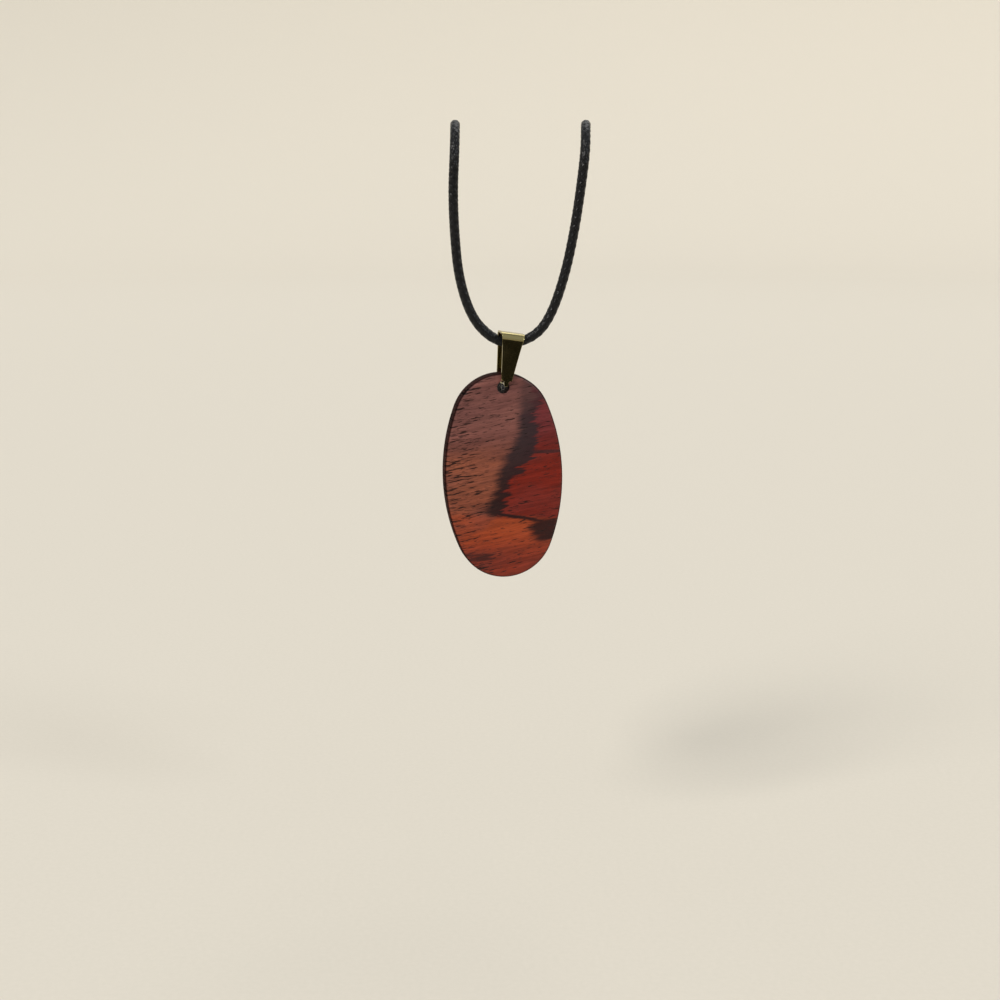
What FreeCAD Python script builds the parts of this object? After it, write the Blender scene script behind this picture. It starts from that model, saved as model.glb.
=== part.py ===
import FreeCAD, Part
import math
import os
from FreeCAD import Rotation, Vector

# Pendant necklace, in millimetres. The cord hangs over the flat top of a display or a hook at
# z = 0, where the origin lies midway between its two strands. -Y is the front and +Z is up.
# Behind the pendant the rest of the cord is folded into a tied hank, with both ends hanging down.

# Cord
CORD_D = 2.0
CORD_LENGTH = 450.0  # nominal, for the printed comparison

# From the lowest point, inside the bail, to the left end
LEFT_ROUTE = [
    (-1.9, 0.0, -42.2), (-6.2, -0.6, -40.9), (-10.0, -0.3, -36.6), (-12.4, 0.0, -29.0),
    (-13.2, 0.0, -20.5), (-13.5, 0.0, -12.0), (-13.1, 0.0, -4.2), (-13.1, 4.9, 0.7),
    (-13.3, 12.6, 1.0), (-13.5, 20.3, 0.7), (-13.8, 25.2, -4.2), (-14.2, 26.0, -12.8),
    (-13.9, 26.3, -22.0), (-13.0, 26.2, -31.1), (-10.4, 26.0, -39.2), (-6.4, 28.5, -43.8),
    (-2.8, 35.5, -45.9), (-2.6, 38.9, -54.0), (-4.6, 36.4, -61.4), (-4.7, 32.2, -68.8),
    (-4.9, 36.4, -75.8), (-4.7, 36.8, -84.0), (-4.7, 29.8, -88.1), (-4.7, 22.8, -84.0),
    (-4.9, 23.1, -75.8), (-4.7, 27.1, -69.0), (-4.9, 23.2, -62.3), (-4.7, 22.9, -54.3),
    (-5.3, 15.9, -50.2), (-6.0, 8.8, -54.4), (-6.0, 8.8, -62.4),
]
# From the same lowest point to the right end
RIGHT_ROUTE = [
    (-1.9, 0.0, -42.2), (2.9, 0.7, -40.7), (6.0, 0.4, -36.6), (8.7, 0.1, -28.6),
    (10.5, 0.0, -19.9), (11.7, 0.0, -11.7), (12.6, 0.0, -4.2), (12.8, 4.9, 0.7),
    (13.2, 12.6, 1.0), (13.5, 20.3, 0.7), (13.7, 25.2, -4.2), (12.8, 26.0, -12.5),
    (11.6, 26.3, -21.3), (9.7, 26.2, -30.7), (6.8, 25.5, -39.2), (3.4, 27.5, -43.8),
    (-2.5, 32.5, -46.4), (-2.6, 36.2, -54.0), (-2.0, 35.4, -61.4), (-2.4, 32.2, -68.8),
    (-2.2, 36.4, -75.8), (-2.4, 36.8, -84.0), (-2.4, 29.8, -88.1), (-2.4, 22.8, -84.0),
    (-2.2, 23.1, -75.8), (-2.4, 27.1, -69.0), (-2.2, 23.2, -62.3), (-2.4, 22.9, -54.3),
    (-1.7, 15.9, -50.2), (-1.0, 8.8, -54.4), (-1.0, 8.8, -62.4),
]
ARC_SHARE = 0.45  # of the shorter run beside a turn

# How the bail and the pendant hang on the cord
HANG_X, HANG_Z = -1.9, -41.9  # centre of the cord at its lowest point
HANG_YAW = 12.0  # the pendant's face turns towards +X
HANG_GAP = 0.75  # above the cord, inside the bail

# Pendant: a flat oval of four arcs
PENDANT_W = 24.3
PENDANT_H = 42.0
PENDANT_T = 4.0
PENDANT_END_R = 10.0
PENDANT_EDGE_R = 0.6
PENDANT_LEAN = 2.0  # degrees, the long axis leans because the hole is off it
HOLE_D = 2.5
HOLE_FROM_RIM = 2.76  # from the top rim down to the centre of the hole
HOLE_SIDE = -0.25  # from the oval's centre line
HOLE_CHAMFER = 0.15

# Bail: one folded strip, two prongs
BAIL_TOP_W = 5.0
BAIL_LOW_W = 2.2
BAIL_TIP_W = 0.9
BAIL_SHEET = 0.35
BAIL_LOW_Z = 0.75  # above the prongs, where the leaf narrows to its tip
BAIL_NECK_Z = 0.35
BAIL_TIP_Z = -0.4
BAIL_BEND_R = 1.5  # outside, at each side of the top
BAIL_TILT = 9.0
LEAF_GAP = 0.1  # between the pendant and each leaf
PRONG_D = 0.7
PRONG_GAP = 0.1  # between the prong and the wall of the hole
PRONG_SIDE = 0.45  # from the centre of the hole, where friction holds it
PRONG_TIP_GAP = 0.24
BAIL_HEIGHT = 10.28  # from the prongs to the top

# Fold-over ends of the cord
END_WALL = 0.4
END_LENGTH = 5.0
END_LOOP_R = 0.95
END_LOOP_WIRE = 0.5

# Rings and chain
RING_R = 1.55
RING_WIRE = 0.5
LINK_COUNT = 7
LINK_LENGTH = 3.1
LINK_WIDTH = 2.3
LINK_WIRE = 0.45
LINK_GAP = 0.06
DROP_RING_R = 1.1
DROP_EYE_R = 0.75
DROP_R = 1.5
DROP_LENGTH = 4.4

# Clasp, measured from the centre of its eye, z downwards negative
EYE_R = 0.85
EYE_WIRE = 0.6
CLASP_T = 2.2
HOOK_OUT_R = 2.5
HOOK_IN_R = 1.35
HOOK_Z = -7.0
HOOK_TIP_ANGLE = 166.0  # where the hook ends on the left
SHOULDER_TOP, SHOULDER_LOW = -1.0, -4.2
SHOULDER_X = -2.0  # its left side
SPINE_W = 1.15
ROOF = 0.75  # of metal over the lever's slot
SLOT_X = 0.35  # right end of the slot
LEVER_T = 0.9
SLOT_GAP = 0.1  # on each side of the lever
PIN_D = 0.7
PIN_CLEARANCE = 0.05
PIN_X, PIN_Z = -0.9, -2.9
SPRING_X = -0.2
SPRING_D = 0.75
SPRING_WIRE = 0.16
SPRING_H = 0.75
SPRING_TURNS = 4

# Tie round the hank
TIE_FRONT_LEFT = (-4.75, 26.15)  # centres of the outermost strands where it holds them
TIE_BACK_RIGHT = (-2.35, 33.25)
TIE_Z = -68.9
TIE_WIRE = 0.8
TIE_TURNS = 3
TIE_PITCH = 0.75

UP = Vector(0, 0, 1)
ACROSS = Vector(1, 0, 0)
BACK = Vector(0, 1, 0)
MADE = {}


def save(name, shape):
    """Keeps a piece and writes its STEP file."""
    shape = shape.removeSplitter() if name != "cord" else shape
    if not shape.isValid():
        raise ValueError(name + " is not valid")
    MADE[name] = shape
    shape.exportStep(os.path.join("parts", name + ".step"))
    print("%-16s solids %d volume %.3f" % (name, len(shape.Solids), shape.Volume))


def tube_path(points):
    """Straight runs joined by tangent arcs, as large as the runs allow."""
    nodes = [Vector(*p) for p in points]
    runs = [(b - a).Length for a, b in zip(nodes, nodes[1:])]
    edges, radii, start = [], [], nodes[0]
    for i in range(1, len(nodes) - 1):
        into = (nodes[i] - nodes[i - 1]).normalize()
        out = (nodes[i + 1] - nodes[i]).normalize()
        half = into.getAngle(out) / 2
        setback = ARC_SHARE * min(runs[i - 1], runs[i])
        radius = setback / math.tan(half)
        first, last = nodes[i] - into * setback, nodes[i] + out * setback
        inward = (out - into).normalize()
        middle = nodes[i] + inward * (radius / math.cos(half) - radius)
        edges.append(Part.LineSegment(start, first).toShape())
        edges.append(Part.Arc(first, middle, last).toShape())
        radii.append(radius)
        start = last
    edges.append(Part.LineSegment(start, nodes[-1]).toShape())
    return Part.Wire(edges), radii


def swept(path, start, direction, wire_d, along_helix=False):
    """A round wire of the given diameter along a path."""
    section = Part.Wire([Part.makeCircle(wire_d / 2, start, direction)])
    return path.makePipeShell([section], True, along_helix)


def ring(radius, wire_d, centre, normal):
    return Part.makeTorus(radius, wire_d / 2, centre, normal)


def oval_link(centre, across):
    """A link with round ends and straight sides. It stands in the plane of Z and across."""
    end_r = (LINK_WIDTH - LINK_WIRE) / 2
    side = LINK_LENGTH / 2 - LINK_WIDTH / 2
    left, right = centre - across * end_r, centre + across * end_r
    up, down = UP * side, UP * (-side)
    edges = [
        Part.LineSegment(right + down, right + up).toShape(),
        Part.Arc(right + up, centre + up + UP * end_r, left + up).toShape(),
        Part.LineSegment(left + up, left + down).toShape(),
        Part.Arc(left + down, centre + down - UP * end_r, right + down).toShape(),
    ]
    return swept(Part.Wire(edges), right + down, UP, LINK_WIRE)


def flat(points, thickness, y_middle=0.0):
    """A plate of the outline given in X and Z, centred on a plane of constant Y."""
    corners = [Vector(x, y_middle - thickness / 2, z) for x, z in points]
    face = Part.Face(Part.makePolygon(corners + corners[:1]))
    return face.extrude(BACK * thickness)


def disc(radius, x, z, thickness):
    return Part.makeCylinder(radius, thickness, Vector(x, -thickness / 2, z), BACK)


def hung(shape):
    """Turns and moves a piece from the hanging pieces' own frame into place."""
    shape = shape.copy()
    shape.rotate(Vector(0, 0, 0), UP, HANG_YAW)
    shape.translate(Vector(HANG_X, 0, 0))
    return shape


def prong_place():
    """The prongs' axis in the hanging frame: below the bail's top, along its tilt."""
    tilt = math.radians(BAIL_TILT)
    top = HANG_Z + CORD_D / 2 + HANG_GAP + BAIL_SHEET
    return -BAIL_HEIGHT * math.sin(tilt), top - BAIL_HEIGHT * math.cos(tilt)


def make_cord():
    route = LEFT_ROUTE[::-1] + RIGHT_ROUTE[1:]
    path, radii = tube_path(route)
    start = Vector(*route[0])
    tube = swept(path, start, Vector(*route[1]) - start, CORD_D)
    section = math.pi * CORD_D ** 2 / 4
    print("cord radii", " ".join("%.1f" % r for r in radii))
    print("cord length %.1f of %.0f, volume %.2f of section x length"
          % (path.Length, CORD_LENGTH, tube.Volume / (section * path.Length)))
    save("cord", tube)


def make_pendant():
    """A flat oval of four arcs with rounded edges. The hole is nearly above its centre."""
    half_w, half_h = PENDANT_W / 2, PENDANT_H / 2
    end_z = half_h - PENDANT_END_R
    side_r = (half_w ** 2 + end_z ** 2 - PENDANT_END_R ** 2) / (2 * (half_w - PENDANT_END_R))
    side_x = half_w - side_r
    share = side_r / math.hypot(side_x, end_z)
    join = Vector(side_x - side_x * share, 0, end_z * share)

    def corner(sx, sz):
        return Vector(sx * join.x, 0, sz * join.z)

    edges = [
        Part.Arc(corner(-1, 1), Vector(0, 0, half_h), corner(1, 1)).toShape(),
        Part.Arc(corner(1, 1), Vector(half_w, 0, 0), corner(1, -1)).toShape(),
        Part.Arc(corner(1, -1), Vector(0, 0, -half_h), corner(-1, -1)).toShape(),
        Part.Arc(corner(-1, -1), Vector(-half_w, 0, 0), corner(-1, 1)).toShape(),
    ]
    slab = Part.Face(Part.Wire(edges)).extrude(BACK * PENDANT_T)
    slab.translate(BACK * (-PENDANT_T / 2))
    rims = [e for e in slab.Edges if abs(e.BoundBox.YMax - e.BoundBox.YMin) < 1e-6]
    slab = slab.makeFillet(min(PENDANT_EDGE_R, 0.45 * PENDANT_T), rims)
    slab.rotate(Vector(0, 0, 0), BACK, -PENDANT_LEAN)
    hole_r = HOLE_D / 2
    hole_up = half_h - HOLE_FROM_RIM
    slab = slab.cut(disc(hole_r, HOLE_SIDE, hole_up, 2 * PENDANT_T))
    for side in (-1, 1):
        mouth = Vector(HOLE_SIDE, side * (PENDANT_T / 2 - HOLE_CHAMFER), hole_up)
        cone = Part.makeCone(hole_r, hole_r + 2 * HOLE_CHAMFER, 2 * HOLE_CHAMFER, mouth, BACK * side)
        slab = slab.cut(cone)
    prong_x, prong_z = prong_place()
    reach = hole_r - PRONG_D / 2 - PRONG_GAP
    hole_x = prong_x - PRONG_SIDE
    hole_z = prong_z - math.sqrt(reach ** 2 - PRONG_SIDE ** 2)
    slab.translate(Vector(hole_x - HOLE_SIDE, 0, hole_z - hole_up))
    save("pendant", hung(slab))


def make_bail():
    """A strip folded over the cord, tapered to two prongs that point at each other."""
    inner = PENDANT_T / 2 + LEAF_GAP
    outer = inner + BAIL_SHEET
    wide = 2 * BAIL_TOP_W

    def arch(half, low, top, bend_r):
        block = Part.makeBox(wide, 2 * half, top - low, Vector(-wide / 2, -half, low))
        rims = [e for e in block.Edges if e.BoundBox.ZMin > top - 0.01 and e.BoundBox.XLength > 1]
        return block.makeFillet(bend_r, rims)

    strip = arch(outer, BAIL_TIP_Z, BAIL_HEIGHT, BAIL_BEND_R)
    strip = strip.cut(arch(inner, BAIL_TIP_Z - 1, BAIL_HEIGHT - BAIL_SHEET, BAIL_BEND_R - BAIL_SHEET))
    outline = [
        (-BAIL_TOP_W / 2, BAIL_HEIGHT + 0.1), (BAIL_TOP_W / 2, BAIL_HEIGHT + 0.1),
        (BAIL_LOW_W / 2, BAIL_LOW_Z), (BAIL_TIP_W / 2, BAIL_NECK_Z), (BAIL_TIP_W / 2, BAIL_TIP_Z),
        (-BAIL_TIP_W / 2, BAIL_TIP_Z), (-BAIL_TIP_W / 2, BAIL_NECK_Z), (-BAIL_LOW_W / 2, BAIL_LOW_Z),
    ]
    strip = strip.common(flat(outline, 4 * outer))
    reach = outer - BAIL_SHEET / 2 - PRONG_TIP_GAP / 2
    for side in (-1, 1):
        tip = Vector(0, side * PRONG_TIP_GAP / 2, 0)
        strip = strip.fuse(Part.makeCylinder(PRONG_D / 2, reach, tip, BACK * side))
    prong_x, prong_z = prong_place()
    strip.rotate(Vector(0, 0, 0), BACK, BAIL_TILT)
    strip.translate(Vector(prong_x, 0, prong_z))
    save("bail", hung(strip))


def make_cord_end(name, end):
    """A sleeve that holds the last stretch of the cord, with a loop below it."""
    outer_r = CORD_D / 2 + END_WALL
    top = Vector(end.x, end.y, end.z + END_LENGTH)
    sleeve = Part.makeCylinder(outer_r, END_LENGTH + END_WALL, top, -UP)
    sleeve = sleeve.cut(Part.makeCylinder(CORD_D / 2, END_LENGTH, top, -UP))
    loop_z = end.z - END_WALL - END_LOOP_R
    loop = ring(END_LOOP_R, END_LOOP_WIRE, Vector(end.x, end.y, loop_z), BACK)
    save(name, sleeve.fuse(loop))
    return loop_z - END_LOOP_R


def hang_below(parent_wire_z, parent_wire, child_wire):
    """Height of a child's top wire, when it passes over the parent's lowest wire."""
    return parent_wire_z + parent_wire / 2 + child_wire / 2 + LINK_GAP


def make_chain(end, loop_low):
    """A ring, the links and a drop, each turned a quarter from the one above."""
    pivots = []
    place = Vector(end.x, end.y, 0)
    pivots.append(("chain_ring", loop_low))
    top = hang_below(loop_low, END_LOOP_WIRE, RING_WIRE)
    save("chain_ring", ring(RING_R, RING_WIRE, place + UP * (top - RING_R), ACROSS))
    low, wire = top - 2 * RING_R, RING_WIRE
    for number in range(1, LINK_COUNT + 1):
        name = "chain_link_%d" % number
        pivots.append((name, low))
        top = hang_below(low, wire, LINK_WIRE)
        reach = LINK_LENGTH / 2 - LINK_WIRE / 2
        across = ACROSS if number % 2 else BACK
        save(name, oval_link(place + UP * (top - reach), across))
        low, wire = top - 2 * reach, LINK_WIRE
    pivots.append(("drop_ring", low))
    top = hang_below(low, wire, LINK_WIRE)
    normal = ACROSS if LINK_COUNT % 2 else BACK
    save("drop_ring", ring(DROP_RING_R, LINK_WIRE, place + UP * (top - DROP_RING_R), normal))
    low = top - 2 * DROP_RING_R
    pivots.append(("chain_drop", low))
    top = hang_below(low, LINK_WIRE, LINK_WIRE)
    normal = BACK if LINK_COUNT % 2 else ACROSS
    eye = ring(DROP_EYE_R, LINK_WIRE, place + UP * (top - DROP_EYE_R), normal)
    tip_z = top - 2 * DROP_EYE_R + LINK_WIRE / 2
    ball_z = tip_z - DROP_LENGTH + DROP_R
    reach = tip_z - ball_z
    touch_z = DROP_R ** 2 / reach
    touch_x = DROP_R * math.sqrt(1 - (DROP_R / reach) ** 2)
    side = Part.LineSegment(Vector(0, 0, reach), Vector(touch_x, 0, touch_z)).toShape()
    bend = math.sqrt(0.5) * DROP_R
    round_part = Part.Arc(Vector(touch_x, 0, touch_z), Vector(bend, 0, -bend), Vector(0, 0, -DROP_R))
    axis = Part.LineSegment(Vector(0, 0, -DROP_R), Vector(0, 0, reach)).toShape()
    face = Part.Face(Part.Wire([side, round_part.toShape(), axis]))
    drop = face.revolve(Vector(0, 0, 0), UP, 360)
    drop.translate(place + UP * ball_z)
    save("chain_drop", drop.fuse(eye))
    return pivots


def make_clasp(end, loop_low):
    """A lobster clasp: ring, body with its eye and hook, lever, pin and spring."""
    place = Vector(end.x, end.y, 0)
    top = hang_below(loop_low, END_LOOP_WIRE, RING_WIRE)
    save("clasp_ring", ring(RING_R, RING_WIRE, place + UP * (top - RING_R), ACROSS))
    ring_low = top - 2 * RING_R
    eye_top = hang_below(ring_low, RING_WIRE, EYE_WIRE)
    eye = ring(EYE_R, EYE_WIRE, Vector(0, 0, 0), BACK)
    move = place + UP * (eye_top - EYE_R)

    spine_in = HOOK_OUT_R - SPINE_W
    shoulder = flat([
        (-0.9, SHOULDER_TOP), (0.9, SHOULDER_TOP), (HOOK_OUT_R, SHOULDER_TOP - 1.3),
        (HOOK_OUT_R, HOOK_Z), (spine_in, HOOK_Z), (spine_in, SHOULDER_LOW - 0.5),
        (spine_in - 0.5, SHOULDER_LOW), (SHOULDER_X + 0.4, SHOULDER_LOW),
        (SHOULDER_X, SHOULDER_LOW + 0.5), (SHOULDER_X, SHOULDER_TOP - 1.0),
    ], CLASP_T)
    hook = disc(HOOK_OUT_R, 0, HOOK_Z, CLASP_T).cut(disc(HOOK_IN_R, 0, HOOK_Z, 2 * CLASP_T))
    tip = math.radians(HOOK_TIP_ANGLE)
    far = 3 * HOOK_OUT_R
    above = [(far, HOOK_Z), (far, HOOK_Z + far), (far * math.cos(tip), HOOK_Z + far * math.sin(tip)),
             (0, HOOK_Z)]
    body = shoulder.fuse(hook.cut(flat(above, 2 * CLASP_T)))
    roof_z = SHOULDER_TOP - ROOF
    slot = flat([
        (-far, roof_z), (SLOT_X, roof_z), (SLOT_X, SHOULDER_LOW - 1), (-far, SHOULDER_LOW - 1),
    ], LEVER_T + 2 * SLOT_GAP)
    body = body.cut(slot).cut(disc(PIN_D / 2, PIN_X, PIN_Z, 2 * CLASP_T)).fuse(eye)
    pin = disc(PIN_D / 2, PIN_X, PIN_Z, CLASP_T)

    tip_x, tip_z = HOOK_IN_R * math.cos(tip), HOOK_Z + HOOK_IN_R * math.sin(tip)
    lever = flat([
        (-3.1, PIN_Z + 1.0), (-2.5, PIN_Z + 1.15), (PIN_X - 0.3, PIN_Z + 0.55),
        (0.15, PIN_Z + 0.2), (0.15, PIN_Z - 0.45), (PIN_X + 0.1, PIN_Z - 0.8),
        (tip_x + 0.2, tip_z + 0.16), (tip_x - 0.95, tip_z + 0.36),
        (-1.95, PIN_Z - 0.6), (-2.35, PIN_Z + 0.3), (-3.05, PIN_Z + 0.55),
    ], LEVER_T)
    lever = lever.cut(disc(PIN_D / 2 + PIN_CLEARANCE, PIN_X, PIN_Z, 2 * CLASP_T))

    spring_r = (SPRING_D - SPRING_WIRE) / 2
    helix = Part.makeHelix(SPRING_H / SPRING_TURNS, SPRING_H - SPRING_WIRE, spring_r)
    start = Vector(spring_r, 0, 0)
    spring = swept(Part.Wire(helix.Edges), start, BACK, SPRING_WIRE, along_helix=True)
    spring.translate(Vector(SPRING_X, 0, roof_z - SPRING_H + SPRING_WIRE / 2))
    for name, shape in (("clasp_body", body), ("clasp_pin", pin),
                        ("clasp_lever", lever), ("clasp_spring", spring)):
        shape.translate(move)
        save(name, shape)
    return [("clasp_ring", loop_low), ("clasp_body", ring_low), ("clasp_eye", move.z)]


def make_tie():
    """Turns of waxed thread round the hank, one above the other."""
    (x0, y0), (x1, y1) = TIE_FRONT_LEFT, TIE_BACK_RIGHT
    grow = CORD_D / 2 + TIE_WIRE / 2
    bend = (x1 - x0) / 2 + grow
    middle_x = (x0 + x1) / 2
    front_y, back_y = y0 - grow + bend, y1 + grow - bend
    turns = []
    for number in range(TIE_TURNS):
        z = TIE_Z + (number - (TIE_TURNS - 1) / 2) * TIE_PITCH
        left, right = middle_x - bend, middle_x + bend
        edges = [
            Part.LineSegment(Vector(right, front_y, z), Vector(right, back_y, z)).toShape(),
            Part.Arc(Vector(right, back_y, z), Vector(middle_x, back_y + bend, z),
                     Vector(left, back_y, z)).toShape(),
            Part.LineSegment(Vector(left, back_y, z), Vector(left, front_y, z)).toShape(),
            Part.Arc(Vector(left, front_y, z), Vector(middle_x, front_y - bend, z),
                     Vector(right, front_y, z)).toShape(),
        ]
        turns.append(swept(Part.Wire(edges), Vector(right, front_y, z), BACK, TIE_WIRE))
    band = turns[0].multiFuse(turns[1:])
    save("hank_tie", band)


os.makedirs("parts", exist_ok=True)
left_end, right_end = Vector(*LEFT_ROUTE[-1]), Vector(*RIGHT_ROUTE[-1])
make_cord()
make_pendant()
make_bail()
left_loop = make_cord_end("cord_end_left", left_end)
right_loop = make_cord_end("cord_end_right", right_end)
clasp_pivots = make_clasp(left_end, left_loop)
chain_pivots = make_chain(right_end, right_loop)
make_tie()
print("prong axis in the hanging frame: x %.3f z %.3f" % prong_place())
pendant_box = MADE["pendant"].BoundBox
print("middle of the pendant: x %.3f y %.3f z %.3f" % tuple(pendant_box.Center))
for name, z in clasp_pivots + chain_pivots:
    print("pivot of %-14s z %.3f" % (name, z))
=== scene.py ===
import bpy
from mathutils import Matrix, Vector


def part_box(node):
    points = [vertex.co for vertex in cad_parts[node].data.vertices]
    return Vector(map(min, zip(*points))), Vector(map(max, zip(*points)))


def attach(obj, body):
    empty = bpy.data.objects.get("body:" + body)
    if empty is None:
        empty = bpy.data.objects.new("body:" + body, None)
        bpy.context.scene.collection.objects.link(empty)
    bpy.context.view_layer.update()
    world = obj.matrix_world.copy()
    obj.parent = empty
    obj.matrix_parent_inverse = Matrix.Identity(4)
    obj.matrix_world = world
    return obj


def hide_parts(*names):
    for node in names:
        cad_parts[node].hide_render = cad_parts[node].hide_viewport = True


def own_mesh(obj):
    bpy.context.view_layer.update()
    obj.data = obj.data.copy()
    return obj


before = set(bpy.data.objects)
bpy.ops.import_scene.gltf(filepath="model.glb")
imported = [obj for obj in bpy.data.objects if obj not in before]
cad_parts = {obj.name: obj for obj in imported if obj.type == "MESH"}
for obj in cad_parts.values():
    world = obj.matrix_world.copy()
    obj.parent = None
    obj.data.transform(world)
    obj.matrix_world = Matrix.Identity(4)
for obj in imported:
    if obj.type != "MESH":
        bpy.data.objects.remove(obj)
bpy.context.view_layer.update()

import math

import bmesh
import bpy
import numpy as np
from mathutils import Matrix, Vector

# ----------------------------------------------------------------------
# The studio: a pale floor well below the hanging necklace, soft light from the upper left,
# weaker light from the right and from behind, and a dark card that the polished bail mirrors.


def put_in(name, data):
    """Puts a new object with this data into the scene."""
    made = bpy.data.objects.new(name, data)
    bpy.context.collection.objects.link(made)
    return made


camera_data = bpy.data.cameras.new("camera")
camera_data.lens = 63
camera_data.sensor_width = 36
camera_data.clip_start = 0.01
camera = put_in("camera", camera_data)
camera.location = (-0.0042, -0.350, -0.001)
camera.rotation_euler = (math.radians(78.2), 0, 0)
bpy.context.scene.camera = camera
bpy.context.scene.view_settings.view_transform = "Standard"


def node(tree, kind, values=(), **settings):
    """Adds a node. Its inputs, by name or place, get a value each or a link from a socket."""
    made = tree.nodes.new(kind)
    for name, value in settings.items():
        setattr(made, name, value)
    for key, value in values.items() if isinstance(values, dict) else enumerate(values):
        if isinstance(value, bpy.types.NodeSocket):
            tree.links.new(value, made.inputs[key])
        else:
            made.inputs[key].default_value = value
    return made


def calc(tree, operation, *values):
    return node(tree, "ShaderNodeMath", values, operation=operation).outputs[0]


def ease(tree, value, start, end, low=0.0, high=1.0):
    """Goes smoothly from low to high while the value goes from start to end."""
    numbers = (value, start, end, low, high)
    return node(tree, "ShaderNodeMapRange", numbers, interpolation_type="SMOOTHSTEP").outputs[0]


def tint(tree, factor, below, above, blend="MIX"):
    colours = {0: factor, 6: below, 7: above}
    made = node(tree, "ShaderNodeMix", colours, data_type="RGBA", blend_type=blend)
    return made.outputs[2]


def new_material(name, **surface):
    """A material with one Principled shader. Returns it, its tree and the shader."""
    made = bpy.data.materials.new(name)
    made.use_nodes = True
    tree = made.node_tree
    shader = tree.nodes["Principled BSDF"]
    for key, value in surface.items():
        shader.inputs[key.replace("_", " ")].default_value = value
    return made, tree, shader


def add_piece(name, mesh, material):
    """Puts a mesh that is already in place into the scene."""
    mesh.materials.clear()
    mesh.materials.append(material)
    return put_in(name, mesh)


FLOOR_Z = -0.150
FLOOR_R = 1.6
SWEEP_R = 0.8  # the paper sweeps up at the floor's rim
SWEEP_STEPS = 24
FLOOR_SIDES = 96
PAPER_DARK, PAPER_LIGHT = (0.63, 0.59, 0.51, 1), (0.67, 0.625, 0.545, 1)
floor_material, floor_tree, floor_shader = new_material(
    "floor_paper", Roughness=0.85, Specular_IOR_Level=0.2)
floor_place = node(floor_tree, "ShaderNodeTexCoord").outputs["Object"]
speckle = node(floor_tree, "ShaderNodeTexNoise", {
    "Vector": floor_place, "Scale": 900.0, "Detail": 2.0}).outputs[0]
paper = tint(floor_tree, speckle, PAPER_DARK, PAPER_LIGHT)
floor_tree.links.new(paper, floor_shader.inputs["Base Color"])
floor_mesh = bpy.data.meshes.new("floor")
profile = [(0.0, FLOOR_Z), (FLOOR_R, FLOOR_Z)]
for step in range(1, SWEEP_STEPS + 1):
    angle = math.pi / 2 * step / SWEEP_STEPS
    profile.append((FLOOR_R + SWEEP_R * math.sin(angle), FLOOR_Z + SWEEP_R * (1 - math.cos(angle))))
turns = [math.tau * i / FLOOR_SIDES for i in range(FLOOR_SIDES)]
spots = [(r * math.cos(turn), r * math.sin(turn), z) for r, z in profile for turn in turns]
tiles = []
for row in range(len(profile) - 1):
    low, high = row * FLOOR_SIDES, (row + 1) * FLOOR_SIDES
    for i in range(FLOOR_SIDES):
        after = (i + 1) % FLOOR_SIDES
        tiles.append((low + i, low + after, high + after, high + i))
floor_mesh.from_pydata(spots, [], tiles)
floor_mesh.shade_smooth()
add_piece("floor", floor_mesh, floor_material)

AIM = Vector((-0.003, 0, -0.045))


def add_light(name, place, spread, strength, colour):
    """A distant soft light that faces the necklace from the side of this place."""
    data = bpy.data.lights.new(name, "SUN")
    data.angle = math.radians(spread)
    data.energy = strength
    data.color = colour
    lamp = put_in(name, data)
    lamp.location = place
    lamp.rotation_euler = (AIM - Vector(place)).to_track_quat("-Z", "Y").to_euler()


add_light("key", (-0.62, -0.60, 0.75), 24, 2.0, (1.0, 0.97, 0.92))
add_light("fill", (0.75, -0.45, 0.50), 14, 0.60, (0.93, 0.97, 1.0))
add_light("back", (0.25, 0.80, 0.90), 35, 0.50, (1.0, 0.98, 0.95))

world = bpy.data.worlds.new("world")
bpy.context.scene.world = world
world.use_nodes = True
sky = world.node_tree
direction = node(sky, "ShaderNodeTexCoord").outputs["Generated"]
height = node(sky, "ShaderNodeSeparateXYZ", [direction]).outputs[2]
shade = ease(sky, height, -0.5, 0.9)
sky_colour = tint(sky, shade, (0.62, 0.60, 0.54, 1), (0.88, 0.90, 0.92, 1))
sky.links.new(sky_colour, sky.nodes["Background"].inputs["Color"])
sky.nodes["Background"].inputs["Strength"].default_value = 0.60

CARD_PLACE = Vector((0.105, -0.27, -0.088))
CARD_HALF_W, CARD_HALF_H = 0.09, 0.07
card_material, _, _ = new_material("card", Base_Color=(0.012, 0.010, 0.007, 1), Roughness=0.9)
card_mesh = bpy.data.meshes.new("card")
card_turn = (AIM - CARD_PLACE).to_track_quat("Z", "Y").to_matrix()
card_corners = [CARD_PLACE + card_turn @ Vector((x * CARD_HALF_W, y * CARD_HALF_H, 0))
                for x, y in ((-1, -1), (1, -1), (1, 1), (-1, 1))]
card_mesh.from_pydata(card_corners, [], [(0, 1, 2, 3)])
card = add_piece("card", card_mesh, card_material)
card.visible_camera = card.visible_diffuse = card.visible_shadow = False

# ----------------------------------------------------------------------
# The cord: black waxed thread, braided round from eight strands, 2 mm thick. It hangs over the
# display's top in two strands, carries the bail at the front, and is folded into a hank behind.

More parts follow.
